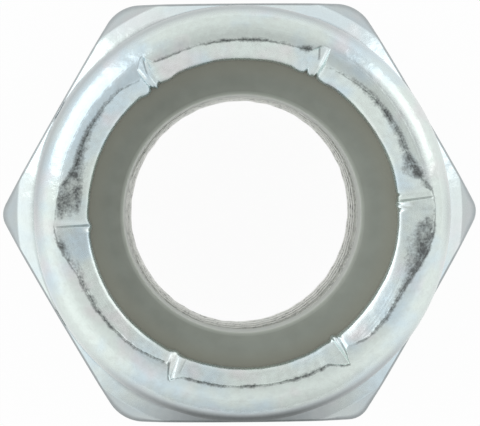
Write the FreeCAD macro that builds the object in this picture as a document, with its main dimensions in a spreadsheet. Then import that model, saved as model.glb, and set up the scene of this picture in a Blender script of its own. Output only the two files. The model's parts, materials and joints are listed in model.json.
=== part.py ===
import FreeCAD, Part
import math
import os
from types import SimpleNamespace

import Sketcher

# Nylon insert lock nut with a 3/8 in coarse thread, in millimetres: a cold-formed steel nut body
# whose round collar is crimped over a nylon ring, and that ring.
# The bearing face lies on Z = 0, the thread's axis is Z, and two of the six flats face Y.

SHEET = "Sizes"

# Each driving dimension: its alias in the sheet, its value (lengths in mm, angles in degrees), what it is.
SIZES = [
    ("bore_diameter", 7.9375, "tapping hole of the thread, 5/16 in"),
    ("flat_wall", 3.175, "metal from that hole to a flat, 1/8 in, for a 9/16 in wrench"),
    ("corner_round", 1.27, "radius of the six upright edges of the hexagon"),
    ("wrench_height", 7.9, "bearing face up to the collar's foot"),
    ("bearing_setback", 0.45, "flats in to the round edge of the bearing face"),
    ("bearing_slope", 30, "angle of the lower corner chamfer"),
    ("shoulder_slope", 30, "angle of the shoulder round the collar"),
    ("shoulder_reach", 0.45, "flats out to where the corners turn down"),
    ("corner_slope", 55, "angle of the corners past the shoulder"),
    ("foot_round", 0.14, "radius in the foot of the collar"),
    ("collar_setback", 0.2, "flats in to the collar's outer wall"),
    ("collar_height", 3.6, "collar's foot up to the top of the crimp"),
    ("collar_wall", 0.95, "thickness of the collar's upright wall"),
    ("crimp_round", 1.2, "outer radius where the collar is bent over the ring"),
    ("lip_cover", 0.4, "share of the ring's width that the crimped lip covers"),
    ("lip_thickness", 0.62, "metal between the pressed land and the ring"),
    ("lip_break", 0.12, "chamfer of the two edges of the opening"),
    ("land_slope", 20, "fall of the pressed land towards the opening"),
    ("inner_round", 0.4, "radius inside the bend, and the bevel of the ring's corner under it"),
    ("dent_count", 6, "crimp marks round the opening"),
    ("dent_turn", 3.7, "angle of the crimp marks past the corners"),
    ("dent_width", 0.7, "width of a mark at the opening"),
    ("dent_depth", 0.3, "depth of a mark at the opening"),
    ("dent_rise", 15, "slope of a mark's bottom up to where it runs out"),
    ("mouth_chamfer", 1.03, "countersink of the thread at the bearing face"),
    ("thread_exit", 0.45, "chamfer where the thread ends at the ring's seat"),
    ("seat_depth", 0.2, "collar's foot down to the ring's seat"),
    ("ring_grip", 0.0375, "what the ring's hole is narrower than the tapping hole"),
    ("ring_clearance", 0.02, "gap from the ring to the collar's wall and to the lip"),
    ("ring_round", 0.3, "radius of the ring's upper inner edge"),
    ("ring_lead", 0.15, "chamfer of the ring's lower inner edge"),
]

CUT_OVERRUN = 1.0  # how far a cut's outline runs past the metal that it takes away
HEX_REACH = 1 / math.cos(math.radians(30))  # a hexagon's corner, for a half width across flats of 1
SAME = 1e-4  # two edges closer than this are the same


class Dim:
    """A length worked out from the sheet: its number now, and the expression that keeps it so."""

    def __init__(self, number, text):
        self.number = number
        self.text = text

    def _joined(self, sign, other, number):
        text = other.text if isinstance(other, Dim) else repr(other)
        return Dim(number, f"({self.text} {sign} {text})")

    def __add__(self, other):
        return self._joined("+", other, self.number + plain(other))

    def __sub__(self, other):
        return self._joined("-", other, self.number - plain(other))

    def __mul__(self, other):
        return self._joined("*", other, self.number * plain(other))

    def __truediv__(self, other):
        return self._joined("/", other, self.number / plain(other))

    def __neg__(self):
        return Dim(-self.number, f"(0 - {self.text})")


def plain(value):
    """The number in a Dim, or the number itself."""
    return value.number if isinstance(value, Dim) else value


def tan(angle):
    return Dim(math.tan(math.radians(angle.number)), f"tan({angle.text})")


def cos(angle):
    return Dim(math.cos(math.radians(angle.number)), f"cos({angle.text})")


def sin(angle):
    return Dim(math.sin(math.radians(angle.number)), f"sin({angle.text})")


def least(one, other):
    return Dim(min(one.number, other.number), f"min({one.text}; {other.text})")


GROUND = Dim(0.0, "0")
BELOW = Dim(-CUT_OVERRUN, f"(0 - {CUT_OVERRUN})")


def make_sheet(doc):
    """Puts the driving dimensions in a spreadsheet, one aliased cell each."""
    sheet = doc.addObject("Spreadsheet::Sheet", SHEET)
    for row, (alias, value, meaning) in enumerate(SIZES, start=1):
        sheet.set(f"A{row}", alias)
        sheet.set(f"B{row}", str(value))
        sheet.setAlias(f"B{row}", alias)
        sheet.set(f"C{row}", meaning)
    doc.recompute()
    return sheet


def read_sizes(sheet):
    """The driving dimensions under their aliases, and the radii and heights that pieces share."""
    d = SimpleNamespace()
    for alias, _, _ in SIZES:
        setattr(d, alias, Dim(float(sheet.get(alias)), f"{SHEET}.{alias}"))
    d.bore_r = d.bore_diameter / 2
    d.flat_r = d.bore_r + d.flat_wall
    d.clear_r = d.flat_r * HEX_REACH + CUT_OVERRUN
    d.collar_r = d.flat_r - d.collar_setback
    d.pocket_r = d.collar_r - d.collar_wall
    d.ring_bore_r = d.bore_r - d.ring_grip / 2
    d.opening_r = d.pocket_r - (d.pocket_r - d.ring_bore_r) * d.lip_cover
    lip_flat = d.lip_break * 2  # what a bend leaves straight beside the opening
    d.bend = least(d.crimp_round, d.collar_r - d.opening_r - lip_flat)
    d.bend_r = d.collar_r - d.bend
    d.inner_bend = least(d.inner_round, d.pocket_r - d.opening_r - lip_flat)
    d.inner_bend_r = d.pocket_r - d.inner_bend
    d.seat_z = d.wrench_height - d.seat_depth
    d.top_z = d.wrench_height + d.collar_height
    d.land_z = d.top_z - (d.bend_r - d.opening_r) * tan(d.land_slope)
    d.under_lip_z = d.land_z - d.lip_thickness
    return d


def origin_feature(body, role):
    return next(f for f in body.Origin.OriginFeatures if f.Role == role)


def new_sketch(body, name, role):
    sketch = body.newObject("Sketcher::SketchObject", name)
    sketch.AttachmentSupport = [(origin_feature(body, role), "")]
    sketch.MapMode = "FlatFace"
    return sketch


def pin(sketch, kind, name, dim, *where):
    """Adds a named dimension to the sketch and binds it to the sheet."""
    index = sketch.addConstraint(Sketcher.Constraint(kind, *where, dim.number))
    sketch.renameConstraint(index, name)
    sketch.setExpression(f"Constraints.{name}", dim.text)


def draw_circle(sketch, radius):
    circle = Part.Circle(FreeCAD.Vector(0, 0, 0), FreeCAD.Vector(0, 0, 1), radius.number)
    index = sketch.addGeometry(circle, False)
    sketch.addConstraint(Sketcher.Constraint("Coincident", index, 3, -1, 1))
    pin(sketch, "Radius", "radius", radius, index)


def arc_between(here, there, radius, centre_x, centre_y, turns_left):
    """An arc from one point to the next, and which of its own ends is where it starts."""
    centre = FreeCAD.Vector(centre_x.number, centre_y.number, 0)
    circle = Part.Circle(centre, FreeCAD.Vector(0, 0, 1), radius.number)
    first, last = (here, there) if turns_left else (there, here)
    angles = [math.atan2(p.y - centre.y, p.x - centre.x) for p in (first, last)]
    return Part.ArcOfCircle(circle, *angles), (1, 2) if turns_left else (2, 1)


def draw_outline(sketch, points, arcs=()):
    """Draws a closed outline through named points, each one pinned to its two Dims.

    points: name to (x, y), in order; an x of None puts the point on the upright axis.
    arcs: name of the point where an arc starts to (radius, centre x, centre y, turns left);
    the outline runs straight from every other point.
    """
    arcs = dict(arcs)
    names = list(points)
    places = {n: FreeCAD.Vector(plain(x or 0), y.number, 0) for n, (x, y) in points.items()}
    sides = {}
    for name, following in zip(names, names[1:] + names[:1]):
        here, there = places[name], places[following]
        if name in arcs:
            curve, ends = arc_between(here, there, *arcs[name])
        else:
            curve, ends = Part.LineSegment(here, there), (1, 2)
        sides[name] = (sketch.addGeometry(curve, False), *ends)
    for name, following in zip(names, names[1:] + names[:1]):
        side, _, end = sides[name]
        next_side, start, _ = sides[following]
        sketch.addConstraint(Sketcher.Constraint("Coincident", side, end, next_side, start))
    for name, (x, y) in points.items():
        side, start, _ = sides[name]
        if x is None:
            sketch.addConstraint(Sketcher.Constraint("PointOnObject", side, start, -2))
        else:
            pin(sketch, "DistanceX", f"{name}_x", x, -1, 1, side, start)
        pin(sketch, "DistanceY", f"{name}_y", y, -1, 1, side, start)
    for name, (radius, *_) in arcs.items():
        pin(sketch, "Radius", f"{name}_radius", radius, sides[name][0])


def draw_hexagon(sketch, half_flats):
    """A regular hexagon about the origin with two sides along X, sized by its flats."""
    reach = half_flats.number * HEX_REACH
    corners = [
        FreeCAD.Vector(reach * math.cos(math.radians(a)), reach * math.sin(math.radians(a)), 0)
        for a in range(0, 360, 60)
    ]
    sides = [
        sketch.addGeometry(Part.LineSegment(here, there), False)
        for here, there in zip(corners, corners[1:] + corners[:1])
    ]
    circle = Part.Circle(FreeCAD.Vector(0, 0, 0), FreeCAD.Vector(0, 0, 1), reach)
    round_corners = sketch.addGeometry(circle, True)
    sketch.addConstraint(Sketcher.Constraint("Coincident", round_corners, 3, -1, 1))
    for side, following in zip(sides, sides[1:] + sides[:1]):
        sketch.addConstraint(Sketcher.Constraint("Coincident", side, 2, following, 1))
        sketch.addConstraint(Sketcher.Constraint("PointOnObject", side, 1, round_corners))
    for side in sides[1:]:
        sketch.addConstraint(Sketcher.Constraint("Equal", sides[0], side))
    upper = sides[1]
    sketch.addConstraint(Sketcher.Constraint("Horizontal", upper))
    pin(sketch, "DistanceY", "half_flats", half_flats, -1, 1, upper, 1)


def finish(body, feature, removes=False):
    """Makes the feature the body's last, and checks that a cut has really taken material away."""
    before = body.Shape.Volume if removes else None
    body.Tip = feature
    body.Document.recompute()
    if removes and not body.Shape.Volume < before - SAME:
        raise RuntimeError(f"{feature.Name} removes nothing")
    return feature


def turn(body, kind, name, sketch):
    """Turns the sketch a full circle about the body's upright axis: Revolution adds, Groove cuts."""
    feature = body.newObject(f"PartDesign::{kind}", name)
    feature.Profile = sketch
    feature.ReferenceAxis = (sketch, ["V_Axis"])
    feature.Angle = 360
    return finish(body, feature, removes=kind == "Groove")


def dress_edges(body, kind, name, dim, edges):
    """A Fillet or Chamfer of the body's last feature, along the edges named."""
    last = body.Tip
    feature = body.newObject(f"PartDesign::{kind}", name)
    feature.Base = (last, edges)
    feature.setExpression("Radius" if kind == "Fillet" else "Size", dim.text)
    return finish(body, feature, removes=True)


def round_edges(body, radius, height):
    """The names of the body's circular edges that have this radius and lie at this height."""
    names = []
    for index, edge in enumerate(body.Tip.Shape.Edges, start=1):
        if not isinstance(edge.Curve, Part.Circle):
            continue
        off_radius = abs(edge.Curve.Radius - radius.number)
        off_height = abs(edge.Curve.Center.z - height.number)
        if max(off_radius, off_height) < SAME:
            names.append(f"Edge{index}")
    return names


def upright_edges(body, height):
    """The names of the body's edges that run its full height."""
    edges = enumerate(body.Tip.Shape.Edges, start=1)
    return [f"Edge{i}" for i, e in edges if abs(e.BoundBox.ZLength - height.number) < SAME]


def add_hex_blank(body, d):
    """The blank, hexagonal over its full height, with the rounded corners of cold forming."""
    sketch = new_sketch(body, "hexagon", "XY_Plane")
    draw_hexagon(sketch, d.flat_r)
    blank = body.newObject("PartDesign::Pad", "hex_blank")
    blank.Profile = sketch
    blank.setExpression("Length", d.top_z.text)
    finish(body, blank)
    dress_edges(body, "Fillet", "corner_rounds", d.corner_round, upright_edges(body, d.top_z))


def form_collar(body, d):
    """Frees the collar from the blank: corner slope, shoulder, foot, wall, bend and pressed land."""
    brow_r = d.flat_r + d.shoulder_reach
    brow_z = d.wrench_height - (brow_r - d.collar_r) * tan(d.shoulder_slope)
    corner_z = brow_z - (d.clear_r - brow_r) * tan(d.corner_slope)
    # the foot's arc touches the upright wall and the sloping shoulder
    foot_x = d.collar_r + d.foot_round
    foot_z = d.wrench_height + d.foot_round / cos(d.shoulder_slope) - d.foot_round * tan(d.shoulder_slope)
    foot_out_x = foot_x - d.foot_round * sin(d.shoulder_slope)
    foot_out_z = foot_z - d.foot_round * cos(d.shoulder_slope)
    bend_z = d.top_z - d.bend
    above_z = d.top_z + CUT_OVERRUN
    points = {
        "corner": (d.clear_r, corner_z),
        "brow": (brow_r, brow_z),
        "foot_out": (foot_out_x, foot_out_z),
        "foot_in": (d.collar_r, foot_z),
        "wall": (d.collar_r, bend_z),
        "crest": (d.bend_r, d.top_z),
        "land": (d.opening_r, d.land_z),
        "axis_low": (None, d.land_z),
        "axis_high": (None, above_z),
        "above": (d.clear_r, above_z),
    }
    arcs = {
        "foot_out": (d.foot_round, foot_x, foot_z, False),
        "wall": (d.bend, d.bend_r, bend_z, True),
    }
    sketch = new_sketch(body, "collar_outline", "XZ_Plane")
    draw_outline(sketch, points, arcs)
    turn(body, "Groove", "collar", sketch)


def cut_bearing_chamfer(body, d):
    """Cuts the lower corners back to the round edge of the bearing face."""
    edge_r = d.flat_r - d.bearing_setback
    rise = (d.clear_r - edge_r) * tan(d.bearing_slope)
    points = {
        "edge": (edge_r, GROUND),
        "under_edge": (edge_r, BELOW),
        "under_corner": (d.clear_r, BELOW),
        "corner": (d.clear_r, rise),
    }
    sketch = new_sketch(body, "bearing_outline", "XZ_Plane")
    draw_outline(sketch, points)
    turn(body, "Groove", "bearing_chamfer", sketch)


def cut_ring_pocket(body, d):
    """Cuts what holds the ring: its seat, the collar's inner wall, the inside of the bend, the opening."""
    under_bend_z = d.under_lip_z + (d.inner_bend_r - d.opening_r) * tan(d.land_slope)
    wall_z = under_bend_z - d.inner_bend
    above_z = d.top_z + CUT_OVERRUN
    points = {
        "axis_low": (None, d.seat_z),
        "seat": (d.pocket_r, d.seat_z),
        "wall": (d.pocket_r, wall_z),
        "under_bend": (d.inner_bend_r, under_bend_z),
        "under_lip": (d.opening_r, d.under_lip_z),
        "opening": (d.opening_r, above_z),
        "axis_high": (None, above_z),
    }
    sketch = new_sketch(body, "pocket_outline", "XZ_Plane")
    draw_outline(sketch, points, {"wall": (d.inner_bend, d.inner_bend_r, wall_z, True)})
    turn(body, "Groove", "ring_pocket", sketch)


def cut_bore(body, d):
    """The tapping hole, its countersunk mouth and the chamfer where the thread meets the seat."""
    sketch = new_sketch(body, "bore_circle", "XY_Plane")
    draw_circle(sketch, d.bore_r)
    bore = body.newObject("PartDesign::Pocket", "bore")
    bore.Profile = sketch
    bore.Type = "ThroughAll"
    bore.Reversed = True
    finish(body, bore, removes=True)
    mouth_edge = round_edges(body, d.bore_r, GROUND)
    dress_edges(body, "Chamfer", "mouth", d.mouth_chamfer, mouth_edge)
    exit_edge = round_edges(body, d.bore_r, d.seat_z)
    dress_edges(body, "Chamfer", "thread_exit", d.thread_exit, exit_edge)


def break_lip(body, d):
    """Breaks the sharp edges of the lip, above and below."""
    edges = round_edges(body, d.opening_r, d.land_z) + round_edges(body, d.opening_r, d.under_lip_z)
    dress_edges(body, "Chamfer", "lip_breaks", d.lip_break, edges)


def draw_chisel(body, name, d, radius, bottom_z):
    """The crimping chisel's V section, on an upright plane square to the mark at this radius."""
    height = d.dent_depth + CUT_OVERRUN
    half_width = height * d.dent_width / 2 / d.dent_depth
    sketch = new_sketch(body, name, "YZ_Plane")
    turned = FreeCAD.Rotation(FreeCAD.Vector(0, 1, 0), d.dent_turn.number)
    sketch.AttachmentOffset = FreeCAD.Placement(FreeCAD.Vector(0, 0, 0), turned)
    sketch.setExpression("AttachmentOffset.Base.x", (radius * sin(d.dent_turn)).text)
    sketch.setExpression("AttachmentOffset.Base.z", (radius * cos(d.dent_turn)).text)
    sketch.setExpression("AttachmentOffset.Rotation.Angle", d.dent_turn.text)
    points = {
        "bottom": (None, bottom_z),
        "right": (half_width, bottom_z + height),
        "left": (-half_width, bottom_z + height),
    }
    draw_outline(sketch, points)
    return sketch


def crimp_lip(body, d):
    """The marks of the crimping tool across the lip: deep at the opening, running out on the bend."""
    inner_r = d.opening_r - CUT_OVERRUN
    inner_z = d.land_z - d.dent_depth - tan(d.dent_rise) * CUT_OVERRUN
    outer_z = inner_z + (d.collar_r - inner_r) * tan(d.dent_rise)
    dent = body.newObject("PartDesign::SubtractiveLoft", "crimp_mark")
    dent.Profile = draw_chisel(body, "mark_inner", d, inner_r, inner_z)
    dent.Sections = [draw_chisel(body, "mark_outer", d, d.collar_r, outer_z)]
    dent.Ruled = True
    finish(body, dent, removes=True)
    dents = body.newObject("PartDesign::PolarPattern", "crimp_marks")
    dents.Originals = [dent]
    dents.Axis = (origin_feature(body, "Z_Axis"), [""])
    dents.Angle = 360
    dents.setExpression("Occurrences", d.dent_count.text)
    finish(body, dents, removes=True)


def new_body(doc, label):
    body = doc.addObject("PartDesign::Body", label)
    body.Label = label
    return body


def make_nut_body(doc, d):
    """The steel piece: hexagon, shoulder, crimped collar, ring pocket and bore."""
    body = new_body(doc, "nut_body")
    add_hex_blank(body, d)
    form_collar(body, d)
    cut_bearing_chamfer(body, d)
    cut_ring_pocket(body, d)
    cut_bore(body, d)
    break_lip(body, d)
    crimp_lip(body, d)
    return body


def make_locking_ring(doc, d):
    """The nylon ring as it lies squeezed in its pocket, drawn from its own underside upwards.

    Its bevelled outer corner lies just inside the collar's bend.
    """
    body = new_body(doc, "locking_ring")
    body.setExpression("Placement.Base.z", d.seat_z.text)
    outer_r = d.pocket_r - d.ring_clearance
    bend_r = outer_r - d.inner_bend
    top_z = d.under_lip_z - d.ring_clearance - d.seat_z
    bend_top_z = top_z + (bend_r - d.opening_r) * tan(d.land_slope)
    wall_z = bend_top_z - d.inner_bend
    points = {
        "bore_low": (d.ring_bore_r, GROUND),
        "foot": (outer_r, GROUND),
        "wall": (outer_r, wall_z),
        "bend_top": (bend_r, bend_top_z),
        "opening": (d.opening_r, top_z),
        "bore_high": (d.ring_bore_r, top_z),
    }
    sketch = new_sketch(body, "ring_outline", "XZ_Plane")
    draw_outline(sketch, points)
    turn(body, "Revolution", "ring", sketch)
    dress_edges(body, "Fillet", "bore_round", d.ring_round, round_edges(body, d.ring_bore_r, top_z))
    dress_edges(body, "Chamfer", "bore_lead", d.ring_lead, round_edges(body, d.ring_bore_r, GROUND))
    return body


def check(doc, bodies):
    """Stops if an object failed, or if a piece isn't one valid closed solid."""
    failed = [o.Name for o in doc.Objects if {"Invalid", "Error"} & set(o.State)]
    if failed:
        raise RuntimeError(f"these objects failed: {', '.join(failed)}")
    for body in bodies:
        shape = body.Shape
        if shape.isNull() or not shape.isValid() or len(shape.Solids) != 1:
            raise RuntimeError(f"{body.Label} isn't one valid solid")


def main():
    doc = FreeCAD.newDocument("lock_nut")
    d = read_sizes(make_sheet(doc))
    bodies = [make_nut_body(doc, d), make_locking_ring(doc, d)]
    doc.recompute()
    check(doc, bodies)
    os.makedirs("parts", exist_ok=True)
    for body in bodies:
        body.Shape.exportStep(f"parts/{body.Label}.step")
        print(f"{body.Label}: {body.Shape.Volume:.2f} cubic millimetres")


main()
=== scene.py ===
import json
import math

import bmesh
import bpy
import numpy as np
from mathutils import Matrix, Vector


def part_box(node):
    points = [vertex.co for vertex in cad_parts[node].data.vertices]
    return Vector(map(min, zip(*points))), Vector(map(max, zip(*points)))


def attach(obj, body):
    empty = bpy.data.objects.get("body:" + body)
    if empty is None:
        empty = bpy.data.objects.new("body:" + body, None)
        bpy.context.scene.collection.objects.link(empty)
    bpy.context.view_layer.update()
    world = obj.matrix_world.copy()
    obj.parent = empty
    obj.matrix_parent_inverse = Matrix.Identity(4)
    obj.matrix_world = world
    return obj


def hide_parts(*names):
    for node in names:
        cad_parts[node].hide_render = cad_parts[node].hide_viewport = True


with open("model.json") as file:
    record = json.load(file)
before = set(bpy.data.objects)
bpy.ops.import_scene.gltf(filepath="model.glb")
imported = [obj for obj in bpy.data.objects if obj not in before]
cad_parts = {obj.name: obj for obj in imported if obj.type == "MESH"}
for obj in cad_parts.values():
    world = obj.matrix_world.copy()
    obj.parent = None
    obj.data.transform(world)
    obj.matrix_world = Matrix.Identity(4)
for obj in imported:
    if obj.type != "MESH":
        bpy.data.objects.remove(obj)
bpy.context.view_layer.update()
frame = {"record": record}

# A nylon insert lock nut for a 3/8 in coarse thread: the zinc plated body with its crimped collar and
# its thread, and the nylon ring. Sizes are in metres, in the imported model's frame.

bl_info = {
    "name": "Nylon Insert Lock Nut",
    "version": (1, 0, 0),
    "blender": (4, 5, 0),
    "location": "View3D > Sidebar > Lock Nut",
    "description": "Makes a zinc plated lock nut with a crimped collar and a nylon ring",
    "category": "Object",
}

MM = 0.001
BODY_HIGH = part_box("nut_body")[1]
RING_LOW, RING_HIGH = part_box("locking_ring")
MOUNTS = {mount["name"]: mount for mount in frame["record"]["mounts"]}

COLUMNS = 600             # upright sections round the nut
RING_COLUMNS = 360
SHOULDER_ROWS = 14
THREAD_WEAR = 0.22        # how dark the thread is rubbed
SEED = 38
FAR = 5 * MM              # distance from the crease that is given to all that isn't on the crimp
WELD = 0.02 * MM          # what is nearer than this to the thread's ends joins them

# Places of the rows on a rounding or a straight, as shares of it.
ROUND = (0, 0.3, 0.7, 1)
FIFTHS = (0, 0.2, 0.4, 0.6, 0.8, 1)
DOME = (1, 0.9, 0.8, 0.71, 0.63, 0.55, 0.48, 0.41, 0.34, 0.28, 0.22, 0.17, 0.12, 0.08, 0.05, 0.025)
LAND = (0, 0.02, 0.045, 0.07, 0.1, 0.14, 0.19, 0.25, 0.32, 0.4, 0.48, 0.56, 0.64, 0.72, 0.8, 0.87, 0.93)

# In the tables below angles are in degrees from +X, counterclockwise, and lengths in millimetres.

# Crimp marks: angle, how deep the lip is pressed down there and how fast that fades ahead
# (counterclockwise) and behind.
MARKS = (
    (4.4, 0.12, 4.0, 2.2),
    (62.3, 0.14, 2.6, 1.1),
    (123.3, 0.075, 2.0, 2.8),
    (183.8, 0.1, 3.0, 2.4),
    (245.4, 0.11, 2.2, 1.4),
    (304.9, 0.1, 1.6, 2.2),
)

# Fine folds in the crimp marks, straight from one place to another: angle and reach of both ends, half
# width, height, which is below zero for a groove, and how bright the fold's painted highlight is, or how
# dark its painted groove shade is where that is below zero.
FOLDS = (
    (4.1, 5.1, 4.7, 6.4, 0.045, -0.035, -0.55), (3.0, 5.08, 2.8, 5.62, 0.085, 0.035, 1.0),
    (0.9, 5.08, 1.4, 5.45, 0.1, 0.035, 1.0), (2.3, 5.08, 2.3, 5.3, 0.035, -0.015, -0.4),
    (6.2, 5.08, 6.2, 5.36, 0.05, -0.02, -0.35), (60.3, 5.1, 61.7, 5.6, 0.04, 0.015, 0.5),
    (61.9, 5.56, 61.9, 6.2, 0.09, 0.03, 1.0), (63.3, 5.72, 64.9, 6.1, 0.05, -0.03, -0.9),
    (66.5, 5.1, 67.5, 5.5, 0.06, 0.015, 0.3), (123.9, 5.62, 122.1, 6.12, 0.035, -0.03, -0.7),
    (125.2, 5.5, 125.6, 5.92, 0.06, 0.03, 1.0), (123.0, 5.66, 121.6, 6.08, 0.04, 0.02, 0.5),
    (123.4, 5.1, 124.8, 5.5, 0.07, 0.008, 0.2), (183.8, 5.1, 183.7, 6.25, 0.045, -0.035, -0.5),
    (185.5, 5.08, 185.3, 5.34, 0.11, 0.025, 1.0), (182.3, 5.1, 182.2, 6.1, 0.12, 0.01, 0.25),
    (243.3, 5.48, 245.0, 5.96, 0.05, -0.03, -0.9), (245.9, 5.16, 246.6, 5.9, 0.12, 0.03, 1.0),
    (248.3, 5.2, 247.9, 5.7, 0.035, -0.015, -0.4), (242.0, 5.1, 242.8, 5.5, 0.06, 0.015, 0.5),
    (307.2, 5.2, 305.7, 5.98, 0.04, -0.03, -0.7), (305.9, 5.08, 305.7, 5.32, 0.055, 0.025, 0.9),
    (308.3, 5.08, 307.8, 5.34, 0.06, 0.025, 0.8), (307.1, 5.08, 306.9, 5.26, 0.03, -0.015, -0.5),
)

# Small dents of the lip's edge: angle, how far the edge is pushed in, or drawn back where it is below
# zero, and the dent's half width in degrees. The widest ones make the opening a little uneven.
DENTS = (
    (3.0, 0.055, 1.3), (6.5, -0.045, 0.45), (24.0, -0.022, 14.0), (57.8, 0.05, 2.4), (61.6, -0.11, 0.4),
    (63.6, 0.04, 0.6), (65.4, -0.1, 0.4), (68.2, 0.055, 2.0), (86.0, 0.02, 5.0), (99.0, -0.02, 4.0),
    (118.4, 0.06, 3.0), (122.1, -0.045, 0.4), (123.6, 0.09, 0.6), (125.5, -0.08, 0.4), (128.2, 0.085, 2.1),
    (150.0, 0.014, 36.0), (184.4, 0.08, 1.9), (243.8, 0.075, 1.7), (301.0, 0.02, 2.0), (305.6, 0.105, 1.1),
    (350.0, -0.052, 32.0),
)

# Painted highlights along the lip's edge: middle and half length in degrees, width, how bright.
LIP_GLINTS = ((326, 26, 0.32, 0.9), (206, 18, 0.08, 0.8), (356, 9, 0.16, 0.9), (20, 12, 0.05, 0.5))

# Where a fold runs out over the lip's edge and rounds it more: middle and half width in degrees, and how
# much larger the rounding is there.
BENT = ((3.1, 0.6, 0.2), (1.0, 0.75, 0.2), (185.4, 0.8, 0.12), (308.2, 0.6, 0.1))

# The crease between the dome and the pressed land, as its angle and distance from the axis: near a
# circle, but it swings out round each crimp mark.
CREASE = (
    (6.5, 6.3), (8.5, 6.19), (10.5, 6.06), (12.5, 5.95), (15.5, 5.84), (20, 5.81), (30, 5.81), (40, 5.8),
    (50, 5.72), (56, 5.64), (60.2, 5.58), (60.7, 5.67), (61.1, 5.96), (61.5, 6.16), (63.5, 6.17), (65, 6.06),
    (66.5, 5.9), (72, 5.79), (90, 5.76), (105, 5.75), (117, 5.75), (120.2, 5.82), (121.2, 6.0),
    (122.2, 6.15), (123.4, 6.08), (125.0, 5.94), (125.8, 5.88), (126.3, 5.62), (127.2, 5.56), (131, 5.67),
    (135, 5.76), (150, 5.785), (162, 5.745), (165, 5.76), (168, 5.88), (171, 6.06), (175, 6.13), (180, 6.18),
    (183.6, 6.23), (187, 6.19), (192, 6.06), (196, 5.9), (200, 5.78), (210, 5.75), (220, 5.73), (231, 5.66),
    (238, 5.58), (241.7, 5.53), (243.0, 5.57), (243.7, 5.66), (244.9, 5.91), (246.0, 6.02), (247.0, 5.9),
    (248.0, 5.81), (249.5, 5.75), (257, 5.73), (275, 5.7), (291, 5.74), (299.3, 5.74), (300.5, 5.82),
    (302.6, 6.0), (305.1, 6.11), (305.5, 5.95), (306.0, 5.81), (306.9, 5.62), (308.3, 5.55), (311.8, 5.73),
    (315, 5.82), (325, 5.84), (330, 5.83), (335, 5.87), (341, 6.0), (347, 6.2), (353, 6.32), (359, 6.36),
    (3, 6.37),
)

# How the crease is darkened, partly by rubbing and partly by painted shade: angle, darkness, and how far
# that reaches outside and inside it. Where it is dark the crease is sharp too.
SEAM = (
    (2, 0.3, 0.02, 0.03), (5, 0.6, 0.03, 0.03), (7, 0.85, 0.05, 0.07), (8.5, 0.95, 0.06, 0.15),
    (10, 0.6, 0.06, 0.15), (12, 1.05, 0.15, 0.26), (15, 1.05, 0.12, 0.24), (18, 1.0, 0.06, 0.15),
    (22, 1.0, 0.06, 0.12), (30, 1.0, 0.06, 0.09), (37, 1.0, 0.06, 0.1), (48, 0.8, 0.07, 0.07),
    (54, 0.45, 0.05, 0.05), (59, 0.4, 0.03, 0.03), (61, 0.1, 0.02, 0.02), (63, 0.1, 0.02, 0.02),
    (64.6, 0.8, 0.04, 0.03), (66, 0.6, 0.03, 0.03), (67.2, 1.1, 0.05, 0.09), (69.5, 1.1, 0.05, 0.08),
    (71.5, 0.7, 0.03, 0.04), (80, 0.8, 0.03, 0.04), (86, 1.0, 0.03, 0.06), (96, 1.0, 0.03, 0.05),
    (104, 0.6, 0.04, 0.04), (117, 0.85, 0.03, 0.04), (119.6, 0.8, 0.03, 0.03), (120.8, 0.1, 0.02, 0.02),
    (126.0, 0.1, 0.02, 0.02), (127.4, 0.45, 0.03, 0.04), (133, 0.6, 0.04, 0.05), (150, 1.0, 0.06, 0.09),
    (160, 1.05, 0.06, 0.14), (166, 1.05, 0.06, 0.24), (170, 0.95, 0.03, 0.24), (178, 0.5, 0.01, 0.08),
    (183, 0.1, 0.02, 0.03), (184.8, 0.7, 0.04, 0.05), (188.5, 1.05, 0.05, 0.14), (192, 1.0, 0.04, 0.13),
    (196, 0.7, 0.04, 0.1), (202, 0.95, 0.05, 0.1), (210, 0.9, 0.06, 0.08), (215, 1.0, 0.03, 0.07),
    (228, 0.85, 0.03, 0.05), (241.5, 0.8, 0.03, 0.04), (242.4, 0.1, 0.02, 0.02), (243.4, 0.95, 0.03, 0.03),
    (245.2, 0.9, 0.03, 0.03), (246.0, 0.3, 0.02, 0.02), (248.0, 0.6, 0.02, 0.03), (251, 0.85, 0.03, 0.05),
    (262, 0.95, 0.03, 0.05), (266, 0.6, 0.03, 0.03), (271, 1.0, 0.03, 0.06), (278, 0.7, 0.03, 0.03),
    (283, 0.95, 0.03, 0.05), (296, 1.0, 0.04, 0.06), (301, 0.8, 0.03, 0.04), (305, 0.95, 0.03, 0.03),
    (306.2, 0.6, 0.02, 0.02), (307, 0.1, 0.02, 0.02), (309.5, 0.2, 0.02, 0.02), (311.5, 0.8, 0.03, 0.05),
    (315, 0.7, 0.03, 0.04), (320, 1.0, 0.05, 0.05), (330, 1.05, 0.05, 0.06), (337, 1.1, 0.04, 0.09),
    (343, 1.15, 0.04, 0.22), (349, 1.1, 0.05, 0.37), (353, 1.05, 0.05, 0.36), (356, 0.95, 0.05, 0.28),
    (358.5, 0.6, 0.03, 0.1),
)

# Dark patches inside the crease, partly worn by rubbing and partly painted shade on tilted facets: middle
# and half length in degrees, middle and half width as distances from the axis, and how dark.
PATCHES = (
    (176.5, 5.5, 5.99, 0.22, 1.0), (173.0, 8.0, 5.47, 0.19, 1.0), (172.5, 9.0, 5.7, 0.42, 0.85),
    (165.5, 3.5, 5.7, 0.2, 1.0), (155.0, 8.0, 5.68, 0.12, 0.7), (198.0, 5.0, 5.66, 0.12, 0.45),
    (353.0, 6.0, 5.96, 0.26, 0.9), (356.8, 2.2, 6.12, 0.14, 1.0), (11.0, 1.5, 6.03, 0.12, 1.0),
)


def linear(code):
    """An sRGB hex colour as linear red, green, blue and an alpha of 1."""
    parts = [int(code[i:i + 2], 16) / 255 for i in (1, 3, 5)]
    return tuple(p / 12.92 if p <= 0.04045 else ((p + 0.055) / 1.055) ** 2.4 for p in parts) + (1.0,)


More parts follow.
